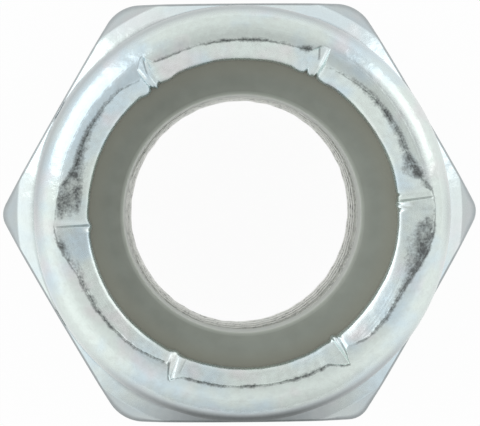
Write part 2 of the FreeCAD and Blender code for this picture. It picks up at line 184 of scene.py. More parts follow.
def length(name, description, value):
    return bpy.props.FloatProperty(
        name=name, description=description, default=value, min=0.0, subtype="DISTANCE", unit="LENGTH",
        precision=5)


def angle(name, description, degrees):
    return bpy.props.FloatProperty(
        name=name, description=description, default=math.radians(degrees), subtype="ANGLE",
        unit="ROTATION")


def colour(name, description, code):
    return bpy.props.FloatVectorProperty(
        name=name, description=description, default=linear(code), size=4, min=0.0, max=1.0,
        subtype="COLOR")


class LOCKNUT_PG_body(bpy.types.PropertyGroup):
    """Sizes of the steel body."""

    flat_reach: length("Flat", "Axis to a wrench flat", BODY_HIGH.y)
    height: length("Height", "Bearing face to the top of the crimp", BODY_HIGH.z)
    corner_round: length("Corner round", "Radius of three upright edges", 1.27 * MM)
    tight_round: length("Tight round", "Radius of the three sharper upright edges", 0.70 * MM)
    edge_round: length("Edge round", "Rounding of the flats' upper and lower edges", 0.07 * MM)
    bearing_reach: length("Bearing edge", "Axis to the round edge of the bearing face", 6.69375 * MM)
    bearing_slope: angle("Bearing slope", "Angle of the lower corner chamfer", 30)
    wrench_height: length("Wrench height", "Bearing face to the collar's foot", 7.9 * MM)
    shoulder_slope: angle("Shoulder slope", "Angle of the shoulder round the collar", 30)
    brow_reach: length("Brow", "Axis to where the corners turn down", 7.59375 * MM)
    brow_round: length("Brow round", "Softness of that edge", 0.035 * MM)
    corner_slope: angle("Corner slope", "Angle of the corners past the brow", 55)
    collar_reach: length("Collar", "Axis to the collar's outer wall", 6.94375 * MM)
    foot_round: length("Foot round", "Radius in the foot of the collar", 0.14 * MM)
    dome_height: length("Dome height", "Height of the bent part of the collar", 1.2 * MM)
    crease_reach: length("Crease", "Axis to the crease round the pressed land", 5.74 * MM)
    crease_step: length("Crease step", "How far the land is pressed below a sharp crease", 0.045 * MM)
    step_width: length("Step width", "Width of that step", 0.07 * MM)
    land_slope: angle("Land slope", "Fall of the pressed land to the opening", 20)
    opening_reach: length("Opening", "Axis to the edge of the crimped lip", 5.10 * MM)
    lip_break: length("Lip break", "Rounding of the lip's upper edge", 0.15 * MM)
    under_lip: length("Under the lip", "Height of the lip's underside at the opening", 10.673 * MM)
    pocket_reach: length("Pocket", "Axis to the wall round the ring", 5.99375 * MM)
    drift: length("Drift", "How far the bore lies off the hexagon's middle", 0.05 * MM)


class LOCKNUT_PG_thread(bpy.types.PropertyGroup):
    """Sizes of the thread."""

    tapping_reach: length("Tapping size", "Axis to the drilled wall", MOUNTS["thread"]["dims"]["r_mm"] * MM)
    raised: length("Raised crests", "How far the tap has raised the crests inside that", 0.05 * MM)
    oval: length("Out of round", "How far the crests lie wider one way than the other", 0.05 * MM)
    ragged: length("Ragged", "Unevenness of the crests", 0.003 * MM)
    depth: length("Depth", "Crest to root", 0.79375 * MM)
    pitch: length("Pitch", "Rise of one turn", 1.5875 * MM)
    crest: length("Crest flat", "Width of a crest", 0.473 * MM)
    crest_round: length("Crest round", "Softness of the crests' edges", 0.035 * MM)
    root: length("Root flat", "Width of a root", 0.198 * MM)
    mouth_reach: length("Mouth", "Axis to the countersink's edge", 4.99875 * MM)
    exit_reach: length("Exit", "Axis to the chamfer's edge at the ring's seat", 4.41875 * MM)


class LOCKNUT_PG_ring(bpy.types.PropertyGroup):
    """Sizes of the nylon ring."""

    bore_reach: length("Bore", "Axis to the ring's bore", MOUNTS["insert_bore"]["dims"]["r_mm"] * MM)
    outer_reach: length("Outside", "Axis to the ring's outer wall", RING_HIGH.y)
    seat: length("Seat", "Height of the ring's underside", RING_LOW.z)
    top: length("Top", "Height of the ring at the opening", 10.6533 * MM)
    bore_round: length("Bore round", "Rounding of the upper inner edge", 0.30 * MM)
    lead: length("Lead", "Chamfer of the lower inner edge", 0.15 * MM)
    bevel: length("Bevel", "Bevel of the upper outer edge", 0.4 * MM)


class LOCKNUT_PG_finish(bpy.types.PropertyGroup):
    """Colours of the plate and the nylon."""

    plate: colour("Zinc", "Main tint of the zinc plate", "#E3EEE9")
    plate_cool: colour("Cool zinc", "Bluish tint of the passivated film", "#D6E8F0")
    plate_warm: colour("Warm zinc", "Pinkish tint of the passivated film", "#E9E5E7")
    mottle: colour("Mottle", "Tarnished tint of the plate's mottled places", "#C4C8C5")
    # A near-white colour for painted highlights on the folds, the lip's edge and the shoulder.
    painted_glint: colour("Burnished zinc", "Bright burnished edges of the folds", "#F3FEFF")
    # A duller plate that also paints shade on the flanks, the corners, the collar's wall and the dome's
    # steep outer slope.
    dull_and_shade: colour("Dull zinc", "Duller plate of the flanks, the corners and the collar's wall", "#AEB5B7")
    # The thread's pale tint is painted light: it brightens the bore, which the thread's own turns shade.
    thread: colour("Thread", "Plate of the thread, with a film of cutting oil", "#F3F4F0")
    # The dark colour of the worn plate beside the crease; it also paints shade there, in the fold grooves
    # and in front, and tints the die lines.
    rubbed_and_shade: colour("Rubbed", "Dark rubbed plate beside the crease", "#696D6D")
    nylon: colour("Nylon", "Main tint of the nylon", "#8C9289")
    # A painted glow: this paler tint stands in for light shining through the nylon at the wall of its bore.
    nylon_glow: colour("Nylon edge", "Lighter tint of the thin nylon at the wall of its bore", "#C6CCC3")
    nylon_rim: colour("Nylon rim", "Warmer tint of the nylon beside the lip", "#8F9083")
    # Darker nylon for the mottle and for painted shade away from one side.
    nylon_mottle_and_shade: colour("Dull nylon", "Duller tint, away from the gate and in streaks", "#777C73")


class LOCKNUT_PG_stage(bpy.types.PropertyGroup):
    """The camera's place and the floor."""

    eye: bpy.props.FloatVectorProperty(
        name="Eye", description="Where the camera stands", default=(-0.0011, 0.0009, 0.117), size=3,
        subtype="XYZ", unit="LENGTH")
    focal: bpy.props.FloatProperty(
        name="Focal length", description="Lens of the camera, in millimetres", default=240.3, min=1.0)
    roll: angle("Roll", "Turn of the camera about its own axis", -0.46)
    floor_reach: length("Floor", "Middle of the floor to its edge", 0.6)
    floor: colour("Floor", "Colour of the floor", "#FFFFFF")


def wrapped(turn):
    """An angle brought between minus half a turn and half a turn."""
    return (turn + math.pi) % (2 * math.pi) - math.pi


def degrees_off(turns, middle):
    """How many degrees angles lie ahead of a middle that is given in degrees, or behind if below zero."""
    return np.degrees(wrapped(turns - math.radians(middle)))


def ramp(values, start, end):
    """0 up to start, 1 from end on, and straight between them; end may be the lower one."""
    return np.clip((values - start) / (end - start), 0, 1)


def spread(low, high, count, focuses, gain=6.0):
    """count + 1 places from low to high, closer together near each focus (place, width)."""
    fine = np.linspace(low, high, 40 * count + 1)
    density = np.ones_like(fine)
    for place, width in focuses:
        density += gain * np.exp(-((fine - place) / width) ** 2)
    total = np.concatenate(([0.0], np.cumsum((density[1:] + density[:-1]) / 2)))
    return np.interp(np.linspace(0, total[-1], count + 1), total, fine)


def row_maker(turns):
    """A function that makes a row: the reach and the height at every column."""
    same = np.ones_like(turns)
    return lambda reach, height: np.stack((reach * same, height * same))


def rounded(start, corner, end, shares):
    """Rows on the curve that leaves start towards corner and comes to end from it."""
    return [(1 - t) ** 2 * start + 2 * t * (1 - t) * corner + t ** 2 * end for t in shares]


def even(start, end, shares):
    """Rows on the straight between two rows."""
    return [(1 - t) * start + t * end for t in shares]


def placed(reach, height, turns, drift):
    """Points at angles round an axis that lies drift off the hexagon's middle."""
    return np.stack((reach * np.cos(turns) + drift, reach * np.sin(turns), height), axis=1)


def hexagon_reach(turns, flat_reach, corner_round, tight_round):
    """Axis to the side of the hexagon; its corners are at 0, 60, 120 degrees and so on, and those at 0,
    180 and 300 degrees are rounded less."""
    nearest = np.round(turns / (math.pi / 3)) % 6
    corner_round = np.where(np.isin(nearest, (0, 3, 5)), tight_round, corner_round)
    off_corner = np.abs((turns + math.pi / 6) % (math.pi / 3) - math.pi / 6)
    off_flat = math.pi / 6 - off_corner
    middle = (flat_reach - corner_round) / math.cos(math.pi / 6)
    on_round = off_flat > np.arctan((flat_reach - corner_round) * math.tan(math.pi / 6) / flat_reach)
    inner = np.maximum(corner_round ** 2 - (middle * np.sin(off_corner)) ** 2, 0.0)
    return np.where(on_round, middle * np.cos(off_corner) + np.sqrt(inner), flat_reach / np.cos(off_flat))


def ripple(turns, random, size, waves):
    """A gentle uneven wave round the nut."""
    total = np.zeros_like(turns)
    for order in waves:
        total += random.normal() * np.cos(order * turns + random.uniform(0, 2 * math.pi))
    return size * total / math.sqrt(len(waves))


def crease_line(turns, random):
    """Axis to the crease: its traced line, slightly ragged."""
    angles, reaches = zip(*CREASE)
    line = MM * np.interp(np.degrees(turns), angles, reaches, period=360)
    return line + ripple(turns, random, 0.012 * MM, range(23, 150, 9))


def lip_line(turns, s, random):
    """Axis to the lip's edge: its circle, slightly uneven, with the dents."""
    line = s.opening_reach + ripple(turns, random, 0.010 * MM, (2, 3, 5, 7, 11))
    line += ripple(turns, random, 0.003 * MM, range(19, 80, 8))
    for middle, push, half in DENTS:
        line -= push * MM * np.exp(-np.abs(degrees_off(turns, middle) / half) ** 2.5)
    return line


def lip_round(turns, s):
    """Rounding of the lip's upper edge, larger where a fold runs out over it."""
    size = s.lip_break * np.ones_like(turns)
    for middle, half, more in BENT:
        size += more * MM * ramp(np.abs(degrees_off(turns, middle)), half, half / 3)
    return size


def lip_dip(turns):
    """How far the crimp marks press the lip's edge down."""
    dip = np.zeros_like(turns)
    for middle, depth, ahead, behind in MARKS:
        off = degrees_off(turns, middle)
        dip = np.maximum(dip, depth * MM * np.exp(-np.abs(off) / np.where(off > 0, ahead, behind)))
    return dip


def folded(row, turns):
    """One row of the pressed land with the fine folds of the crimp marks, and its painted highlights and
    groove shade.
    """
    reach, height = row
    glint_and_groove_shade = np.zeros_like(turns)
    for start, near, stop, far, half, rise, glint in FOLDS:
        share = np.clip((reach / MM - near) / (far - near), 0, 1)
        middle = np.radians(start + (stop - start) * share)
        off = np.abs(wrapped(turns - middle)) * reach / (half * MM)
        ends = ramp(reach / MM, near - 0.06, near) * ramp(reach / MM, far, far - 0.12)
        height = height + rise * MM * ramp(off, 1, 0) * ends
        glint_and_groove_shade = glint_and_groove_shade + glint * ramp(off, 1, 1 / 3) * ends
    return np.stack((reach, height)), glint_and_groove_shade


def lip_glint(reach, lip, turns):
    """How bright the painted highlight on the lip's edge is, at one row of the pressed land."""
    glint_and_groove_shade = np.zeros_like(turns)
    for middle, half, width, bright in LIP_GLINTS:
        along = np.clip(1.5 - 1.5 * (degrees_off(turns, middle) / half) ** 2, 0, 1)
        glint_and_groove_shade += bright * along * np.clip(1.6 - 1.6 * (reach - lip) / (width * MM), 0, 1)
    return glint_and_groove_shade


def body_table(s, thread, turns):
    """Rows from the thread's mouth outwards, up, over the crimp and down to the ring's seat. Each comes with
    its traits: how far it drifts with the bore, its distance from the crease, how much its plate is dulled
    and darkened by painted shade, its painted glints and groove shade, and how strongly the forming die has
    drawn it along."""
    random = np.random.default_rng(SEED)
    row = row_maker(turns)
    side = hexagon_reach(turns, s.flat_reach, s.corner_round, s.tight_round)
    edge = s.edge_round
    table = []

    def add(rows, drift=1.0, apart=FAR, dull_and_shade=0.0, glint_and_groove_shade=0.0, drawn=0.0):
        """Adds rows; a trait is one value for all of them or a list with a value for each."""
        traits = (drift, apart, dull_and_shade, glint_and_groove_shade, drawn)
        table.extend(zip(rows, *(trait if isinstance(trait, list) else [trait] * len(rows)
                                 for trait in traits)))

    def lobe(middle, half):
        """1 round a place and 0 away from it."""
        return np.exp(-(degrees_off(turns, middle) / half) ** 4)

    # The collar's wall has a duller plate and painted shade. There is less painted shade in two places,
    # where the wall is left lighter, and most of all in front, where it stands in for the darker
    # surroundings reflected there. At the right the dome has a bright reflected streak, with painted shade
    # along its inner edge.
    clear = lobe(205, 26) + lobe(338, 18)
    streak = lobe(30, 28)
    front_shade = np.maximum(-np.sin(turns), 0) ** 8

    def under(reach):
        """Height of the lower corner chamfer."""
        return (reach - s.bearing_reach) * math.tan(s.bearing_slope)

    def over(reach):
        """Height of the shoulder, and past the brow of the corner."""
        turn_down = math.tan(s.corner_slope) - math.tan(s.shoulder_slope)
        past = np.logaddexp(0, (reach - s.brow_reach) / s.brow_round) * s.brow_round
        return s.wrench_height - math.tan(s.shoulder_slope) * (reach - s.collar_reach) - turn_down * past

    add([row(thread.mouth_reach, 0), row(thread.mouth_reach + 0.1 * MM, 0)], dull_and_shade=0.5)
    add([row(s.bearing_reach - 0.5 * MM, 0)], drift=0.3, dull_and_shade=0.5)
    add(rounded(row(s.bearing_reach - edge, 0), row(s.bearing_reach, 0),
                row(s.bearing_reach + edge, under(s.bearing_reach + edge)), ROUND), drift=0.0, dull_and_shade=0.5)

    # The flanks and their edges get the duller tint as painted shade, which stands in for the darker
    # surroundings they reflect.
    lower = rounded(row(side - edge, under(side - edge)), row(side, under(side)),
                    row(side, under(side) + edge), ROUND)
    lower += even(lower[-1], row(side, over(side) - edge), (0.3, 0.7))
    upper = rounded(row(side, over(side) - edge), row(side, over(side)),
                    row(side - edge, over(side - edge)), FIFTHS)
    add(lower, drift=0.0, dull_and_shade=0.8, drawn=[0.0] * 2 + [1.0] * 4)
    add(upper, drift=0.0, dull_and_shade=1.0 + 0.7 * front_shade, drawn=[1.0] * 3 + [0.5] * 3)

    foot_reach = s.collar_reach + s.foot_round
    across = np.empty((SHOULDER_ROWS + 1, len(turns)))
    for i, outer in enumerate(side - edge):
        focus = [(s.brow_reach, 0.09 * MM)] if outer > s.brow_reach - 0.1 * MM else []
        across[:, i] = spread(foot_reach, outer, SHOULDER_ROWS, focus)[::-1]
    # Painted highlight on the shoulder, strongest towards +Y and none towards -Y, and painted shade on the
    # corners past the brow and in front.
    shoulder_glint = 0.55 * np.clip(1 + 1.5 * np.sin(turns), 0, 1)
    past_brow = [ramp(reach, s.brow_reach - 0.03 * MM, s.brow_reach + 0.03 * MM) for reach in across[1:-1]]
    add([row(reach, over(reach)) for reach in across[1:-1]], drift=0.0,
        dull_and_shade=[np.maximum(0.7 * past, 1.5 * front_shade) for past in past_brow],
        glint_and_groove_shade=[shoulder_glint * (1 - past) for past in past_brow])

    foot_height, dome_foot = over(s.collar_reach), s.height - s.dome_height
    collar = rounded(row(foot_reach, over(foot_reach)), row(s.collar_reach, foot_height),
                     row(s.collar_reach, foot_height + s.foot_round), (0, 0.25, 0.5, 0.75, 1))
    collar += even(collar[-1], row(s.collar_reach, dome_foot), (0.33, 0.67))
    add(collar[:4], dull_and_shade=0.8 - 0.6 * clear + 0.8 * front_shade, drawn=0.5)
    add(collar[4:], dull_and_shade=0.7 - 0.5 * clear + 0.4 * front_shade, drawn=0.5)

    crease = crease_line(turns, random)
    lip, lip_break = lip_line(turns, s, random), lip_round(turns, s)
    dome_reach = s.collar_reach - s.crease_reach
    rim = np.arcsin((crease - s.crease_reach) / dome_reach)
    # The dome's steep outer slope gets painted shade, less in the streak and the two lighter places and more
    # in front, and a band of painted shade just inside the streak.
    for share in DOME:
        tilt = rim + (math.pi / 2 - rim) * share
        reach, leaning = s.crease_reach + dome_reach * np.sin(tilt), np.degrees(tilt)
        add([row(reach, dome_foot + s.dome_height * np.cos(tilt))], apart=reach - crease,
            dull_and_shade=(0.85 - 0.65 * streak - 0.6 * clear) * ramp(leaning, 42, 64)
            + 0.6 * streak * ramp(leaning, 31, 26) * ramp(leaning, 16, 21)
            + 1.15 * front_shade * ramp(leaning, 36, 58))

    # The land is pressed down from the crease, less where the crease isn't sharp.
    brink = dome_foot + s.dome_height * np.cos(rim)
    places, darkness, *_ = zip(*SEAM)
    crease_step = s.crease_step * np.clip(
        np.interp(np.degrees(turns), places, darkness, period=360), 0.15, 1)
    wave = ripple(turns, random, 0.012 * MM, (2, 3, 5, 8, 13, 21))
    fall = math.tan(s.land_slope) * (s.crease_reach - s.opening_reach)
    low = s.height - s.crease_step - fall - lip_dip(turns) + wave

    def land(reach):
        """Row of the pressed land: a short step at the crease, then a slope to the opening."""
        step = ramp(reach, crease, crease - s.step_width)
        plane = low + (brink - crease_step - low) * (reach - lip) / (crease - lip)
        return row(reach, plane + crease_step * (1 - step * step * (3 - 2 * step)))

    pressed = [land(crease - (crease - lip - lip_break) * share) for share in LAND]
    tip = land(lip)
    below = tip - row(0, lip_break)
    pressed += rounded(land(lip + lip_break), tip, below, FIFTHS)
    pressed += even(below, row(lip, s.under_lip), (0.4, 0.75))
    # Painted highlights and groove shade from the folds and along the lip's edge; the last rows, under the
    # lip, get the duller tint.
    for i, bare in enumerate(pressed):
        bent, glint_and_groove_shade = folded(bare, turns)
        add([bent], apart=bent[0] - crease, dull_and_shade=0.6 if i >= len(pressed) - 2 else 0.0,
            glint_and_groove_shade=glint_and_groove_shade + lip_glint(bent[0], lip, turns))

    add([
        row(lip, s.under_lip),
        row(s.opening_reach + 0.12 * MM, s.under_lip + 0.04 * MM),
        row(s.pocket_reach - 0.4 * MM, s.under_lip + 0.15 * MM),
        row(s.pocket_reach, s.under_lip - 0.25 * MM),
        row(s.pocket_reach, RING_LOW.z),
        row(s.pocket_reach - 0.8 * MM, RING_LOW.z),
    ], dull_and_shade=0.8)
    return table


def thread_grid(turns, thread, seat):
    """The thread's rows, each a helix, as heights and reaches for every column and one more. Its crests
    are raised and a little oval and ragged, as a tap leaves them."""
    random = np.random.default_rng(SEED + 1)
    flank = (thread.pitch - thread.crest - thread.root) / 2
    half = thread.crest / 2
    soft = thread.crest_round
    steps = [half + soft * share for share in (-2, -0.6, 0.7, 2)]
    steps += [half + flank * share for share in (0.45, 0.85, 1)]
    steps += [thread.pitch - step for step in reversed(steps)]
    laps = range(-2, math.ceil(seat / thread.pitch) + 1)
    rows = np.array([lap * thread.pitch + step for lap in laps for step in steps])
    turns = np.append(turns, 2 * math.pi)
    height = rows[:, None] + thread.pitch * turns / (2 * math.pi)
    place = np.abs((rows + thread.pitch / 2) % thread.pitch - thread.pitch / 2)
    cut = thread.depth * np.minimum(np.logaddexp(0, (place - half) / soft) * soft / flank, 1)
    ragged = np.zeros_like(height)
    for order in range(5, 60, 6):
        phase = random.uniform(0, 2 * math.pi) + random.normal() * height / (2 * thread.pitch)
        ragged += random.normal() * np.cos(order * turns + phase)
    crest = thread.oval * np.cos(2 * (turns - math.radians(75))) - thread.raised
    reach = thread.tapping_reach + cut[:, None] + crest + thread.ragged * ragged
    return height, reach, len(steps)


def countersunk(height, reach, thread, seat):
    """The thread's reach where the countersinks at its two ends cut it."""
    mouth = thread.mouth_reach - height
    leave = thread.exit_reach - (seat - height)
    return np.maximum(np.maximum(reach, mouth), leave)


def thread_index(height, per_pitch, seat, last_row):
    """The vertex at each place of the thread's grid: the first row's below the mouth, the last row's
    above the seat and a new one between. The column after the last is the first one, a turn later."""
    below, above = height <= WELD, height >= seat - WELD
    free = ~(below | above)
    free[:, -1] = False
    columns = np.arange(COLUMNS + 1) % COLUMNS
    index = np.where(below, columns, last_row + columns)
    index[free] = last_row + COLUMNS + np.arange(free.sum())
    index[:-per_pitch, -1] = index[per_pitch:, 0]
    index[-per_pitch:, -1] = last_row
    return index, free


def crease_darkening(points, drift, crease):
    """How dark the plate is along the crease and in the patches inside it, partly worn by rubbing and partly
    painted shade.
    """
    around = np.arctan2(points[:, 1], points[:, 0] - drift)
    out = np.hypot(points[:, 0] - drift, points[:, 1])
    patch = np.zeros(len(points))
    for middle, half, place, width, darkness in PATCHES:
        apart = (degrees_off(around, middle) / half) ** 2 + ((out / MM - place) / width) ** 2
        patch = np.maximum(patch, darkness * np.clip(1.3 - 1.3 * apart, 0, 1))
    angles, *columns = zip(*SEAM)
    seam, outside, inside = (np.interp(np.degrees(around), angles, column, period=360)
                             for column in columns)
    gap = np.abs(crease) / (MM * np.where(crease > 0, outside, inside))
    seam = np.clip(seam - 0.55 * np.maximum(gap - 0.5, 0), 0, 1.15)
    return np.maximum(np.where(crease < -0.005 * MM, patch, 0), seam) * (crease < FAR)


def make_mesh(name, points, faces, attributes):
    """A closed, smooth mesh with outward normals and one number per vertex for each attribute."""
    mesh = bpy.data.meshes.new(name)
    mesh.from_pydata(points.tolist(), [], faces)
    shape = bmesh.new()
    shape.from_mesh(mesh)
    bmesh.ops.recalc_face_normals(shape, faces=shape.faces)
    open_edges = sum(not edge.is_manifold for edge in shape.edges)
    shape.to_mesh(mesh)
    shape.free()
    if open_edges:
        raise RuntimeError(f"{name} has {open_edges} edges that don't join two faces")
    for key, values in attributes.items():
        layer = mesh.attributes.new(key, "FLOAT", "POINT")
        layer.data.foreach_set("value", np.asarray(values, np.float32))
    mesh.shade_smooth()
    return mesh


def add_piece(name, mesh, material, node):
    """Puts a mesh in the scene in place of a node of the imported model."""
    piece = bpy.data.objects.new(name, mesh)
    bpy.context.scene.collection.objects.link(piece)
    mesh.materials.append(material)
    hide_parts(node)
    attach(piece, "root")


def grid_faces(rows, columns, closed):
    """Faces between neighbouring rows of a grid that runs round, and across its end if closed."""
    faces = []
    for i in range(rows if closed else rows - 1):
        here, there = i * columns, (i + 1) % rows * columns
        for j in range(columns):
            k = (j + 1) % columns
            faces.append((here + j, here + k, there + k, there + j))
    return faces


def welded_faces(index):
    """Faces of a grid of vertices, some of which are the same, so that a face may be a triangle."""
    faces = []
    for i in range(index.shape[0] - 1):
        for j in range(index.shape[1] - 1):
            corners = (index[i, j], index[i, j + 1], index[i + 1, j + 1], index[i + 1, j])
            face = [int(c) for k, c in enumerate(corners) if c != corners[k - 1]]
            if len(face) > 2:
                faces.append(tuple(face))
    return faces


def add_node(tree, kind, inputs=None, **settings):
    """Adds a node with its settings. An input is given by a number, a colour, another node's socket, or
    a node, which stands for its first socket in use."""
    node = tree.nodes.new(kind)
    for name, value in settings.items():
        setattr(node, name, value)
    for name, value in (inputs or {}).items():
        if isinstance(value, bpy.types.Node):
            value = next(socket for socket in value.outputs if socket.enabled)
        if isinstance(value, bpy.types.NodeSocket):
            tree.links.new(value, node.inputs[name])
        else:
            node.inputs[name].default_value = value
    return node


def new_material(name):
    material = bpy.data.materials.new(name)
    material.use_nodes = True
    material.node_tree.nodes.clear()
    return material, material.node_tree


def zinc_plate(finish):
    """Bright zinc electroplate with a fine blue passivated film, on cold-formed steel: a clean metallic grey
    with a satin grain, faint blue and pink clouds, turning lines round the axis, duller flanks, corners and
    collar wall that carry painted shade, painted highlights on the folds, the lip's edge and the shoulder,
    and a dark speckle where the collar was bent and stamped, partly worn plate and partly painted shade."""
    material, tree = new_material("zinc_plate_blue_passivated")
    place = add_node(tree, "ShaderNodeTexCoord").outputs["Object"]
    rubbed_and_shade, land, dull_and_shade, glint_and_groove_shade, thready, drawn = (
        add_node(tree, "ShaderNodeAttribute", attribute_name=name).outputs["Fac"]
        for name in ("rubbed_and_shade", "land", "dull_and_shade", "glint_and_groove_shade", "thready", "drawn"))

    # Noise, given by how many waves fit in a metre, how many finer layers it has and how strong these
    # are: clouds of 2.4 and 1.4 mm, mottle of 0.22 mm, specks of 0.07 mm in blots of 0.24 mm, a grain of
    # 0.08 mm, pits of 0.2 mm and shallow dents of 0.56 mm.
    clouds, pink, mottle, specks, blots, grain, pits, dents = (
        add_node(tree, "ShaderNodeTexNoise", {
            "Vector": place, "Scale": scale, "Detail": detail, "Roughness": roughness})
        for scale, detail, roughness in (
            (420, 3, 0.55), (700, 2, 0.5), (4500, 4, 0.65), (14000, 3, 0.7), (4200, 2, 0.6),
            (12000, 3, 0.6), (5000, 4, 0.6), (1800, 1, 0.5)))

    cool = add_node(tree, "ShaderNodeMapRange", {
        "Value": clouds, "From Min": 0.40, "From Max": 0.62}, interpolation_type="SMOOTHSTEP")
    warm = add_node(tree, "ShaderNodeMapRange", {
        "Value": pink, "From Min": 0.50, "From Max": 0.72, "To Max": 0.7}, interpolation_type="SMOOTHSTEP")

    # Mottled tarnish, strongest on the pressed land.
    much = add_node(tree, "ShaderNodeMath", {0: land, 1: 0.10, 2: 0.22}, operation="MULTIPLY_ADD")
    mottle = add_node(tree, "ShaderNodeMapRange", {
        "Value": mottle, "From Min": 0.42, "From Max": 0.68, "To Max": much})

    # Upright lines up to 0.3 mm apart, which the forming die draws along the flats and the collar's wall.
    upright = add_node(tree, "ShaderNodeVectorMath", {0: place, 1: (1.0, 1.0, 0.05)}, operation="MULTIPLY")
    upright = add_node(tree, "ShaderNodeTexNoise", {
        "Vector": upright, "Scale": 3500, "Detail": 4, "Roughness": 0.7})
    drag = add_node(tree, "ShaderNodeMapRange", {
        "Value": upright, "From Min": 0.35, "From Max": 0.70, "To Max": 0.24})
    drag = add_node(tree, "ShaderNodeMath", {0: drag, 1: drawn}, operation="MULTIPLY")

    # Specks along the crease and in its patches, partly worn plate and partly painted shade, drawn coarser
    # than the real ones, which are too fine to show.
    uneven = add_node(tree, "ShaderNodeMath", {0: blots, 1: specks}, operation="ADD")
    speckled = add_node(tree, "ShaderNodeMath", {0: uneven, 1: 1.35, 2: rubbed_and_shade}, operation="MULTIPLY_ADD")
    worn_and_shaded = add_node(tree, "ShaderNodeMapRange", {"Value": speckled, "From Min": 1.58, "From Max": 2.55})
    anywhere = add_node(tree, "ShaderNodeMath", {0: rubbed_and_shade, 1: 0.05}, operation="GREATER_THAN")
    dark = add_node(tree, "ShaderNodeMath", {0: worn_and_shaded, 1: anywhere}, operation="MULTIPLY")

    # Painted shade in the grooves of the folds, and deeper painted shade where the duller tint is strongest,
    # mostly in front.
    groove_shade = add_node(tree, "ShaderNodeMapRange", {
        "Value": glint_and_groove_shade, "From Min": 0.0, "From Max": -1.0, "To Max": 0.75})
    dark = add_node(tree, "ShaderNodeMath", {0: dark, 1: groove_shade}, operation="MAXIMUM")
    deepest_shade = add_node(tree, "ShaderNodeMapRange", {
        "Value": dull_and_shade, "From Min": 0.95, "From Max": 1.75, "To Max": 0.8})
    dark = add_node(tree, "ShaderNodeMath", {0: dark, 1: deepest_shade}, operation="MAXIMUM")
    # Painted highlights on the folds, the lip's edge and the shoulder.
    bright = add_node(tree, "ShaderNodeMapRange", {"Value": glint_and_groove_shade})

    # The duller tint is partly painted shade, the thread's pale tint is painted light in the shaded bore,
    # and the glint tint is a painted highlight.
    tint = tuple(finish.plate)
    for share, over in (
            (cool, finish.plate_cool), (warm, finish.plate_warm), (dull_and_shade, finish.dull_and_shade),
            (thready, finish.thread), (mottle, finish.mottle), (drag, finish.rubbed_and_shade),
            (dark, finish.rubbed_and_shade), (bright, finish.painted_glint)):
        tint = add_node(tree, "ShaderNodeMix", {0: share, 6: tint, 7: tuple(over)}, data_type="RGBA")

    rough = add_node(tree, "ShaderNodeMapRange", {
        "Value": grain, "From Min": 0.3, "From Max": 0.7, "To Min": 0.12, "To Max": 0.24})
    for trait, more in ((land, 0.10), (dull_and_shade, 0.20), (dark, 0.20), (thready, 0.36)):
        rough = add_node(tree, "ShaderNodeMath", {0: trait, 1: more, 2: rough}, operation="MULTIPLY_ADD")

    # Turning lines 0.06 mm apart round the axis, drawn wider than the real ones to show.
    flat = add_node(tree, "ShaderNodeVectorMath", {0: place, 1: (1.0, 1.0, 0.0)}, operation="MULTIPLY")
    across = add_node(tree, "ShaderNodeVectorMath", {0: flat}, operation="LENGTH")
    lines = add_node(tree, "ShaderNodeTexNoise", {
        "W": across, "Scale": 16000, "Detail": 1}, noise_dimensions="1D")
    relief = add_node(tree, "ShaderNodeMapRange", {"Value": lines, "To Max": 0.15})
    for form, more in ((pits, 0.6), (dents, 1.8), (drag, -0.8)):
        relief = add_node(tree, "ShaderNodeMath", {0: form, 1: more, 2: relief}, operation="MULTIPLY_ADD")
    bump = add_node(tree, "ShaderNodeBump", {"Strength": 0.7, "Distance": 0.02 * MM, "Height": relief})

    shader = add_node(tree, "ShaderNodeBsdfPrincipled", {
        "Base Color": tint, "Metallic": 1.0, "Roughness": rough, "Normal": bump})
    add_node(tree, "ShaderNodeOutputMaterial", {"Surface": shader})
    return material


def moulded_nylon(finish):
    """Grey nylon 6/6, injection moulded: a satin grey with a faint mottle, a little darker away from one
    side by painted shade, a painted glow that makes the wall of its bore paler, and a gentle gloss on the
    rounded edge."""
    material, tree = new_material("nylon_moulded_grey")
    place = add_node(tree, "ShaderNodeTexCoord").outputs["Object"]
    glow_and_lip_shade = add_node(tree, "ShaderNodeAttribute", attribute_name="glow_and_lip_shade").outputs["Fac"]
    flow, grain = (
        add_node(tree, "ShaderNodeTexNoise", {
            "Vector": place, "Scale": scale, "Detail": 3, "Roughness": roughness})
        for scale, roughness in ((1500, 0.5), (9000, 0.6)))
    mottle = add_node(tree, "ShaderNodeMapRange", {
        "Value": flow, "From Min": 0.35, "From Max": 0.65, "To Max": 0.3})
    # Painted shade: the nylon is darkened away from one side, which stands in for the sheen it takes on
    # towards that side.
    sheen_side = add_node(tree, "ShaderNodeVectorMath", {0: place, 1: (0.88, -0.48, 0.0)}, operation="DOT_PRODUCT")
    away = add_node(tree, "ShaderNodeMapRange", {
        "Value": sheen_side, "From Min": 5.0 * MM, "From Max": -5.0 * MM, "To Max": 0.7},
        interpolation_type="SMOOTHSTEP")
    streaks = add_node(tree, "ShaderNodeMath", {0: mottle, 1: away})
    under_lip = add_node(tree, "ShaderNodeMapRange", {"Value": glow_and_lip_shade, "From Min": 0.0, "From Max": -1.0})
    tint = tuple(finish.nylon)
    for share, over in (
            (streaks, finish.nylon_mottle_and_shade), (glow_and_lip_shade, finish.nylon_glow), (under_lip, finish.nylon_rim)):
        tint = add_node(tree, "ShaderNodeMix", {0: share, 6: tint, 7: tuple(over)}, data_type="RGBA")
    bump = add_node(tree, "ShaderNodeBump", {"Strength": 0.25, "Distance": 0.01 * MM, "Height": grain})
    shader = add_node(tree, "ShaderNodeBsdfPrincipled", {
        "Base Color": tint, "Roughness": 0.42, "IOR": 1.53, "Normal": bump})
    add_node(tree, "ShaderNodeOutputMaterial", {"Surface": shader})
    return material


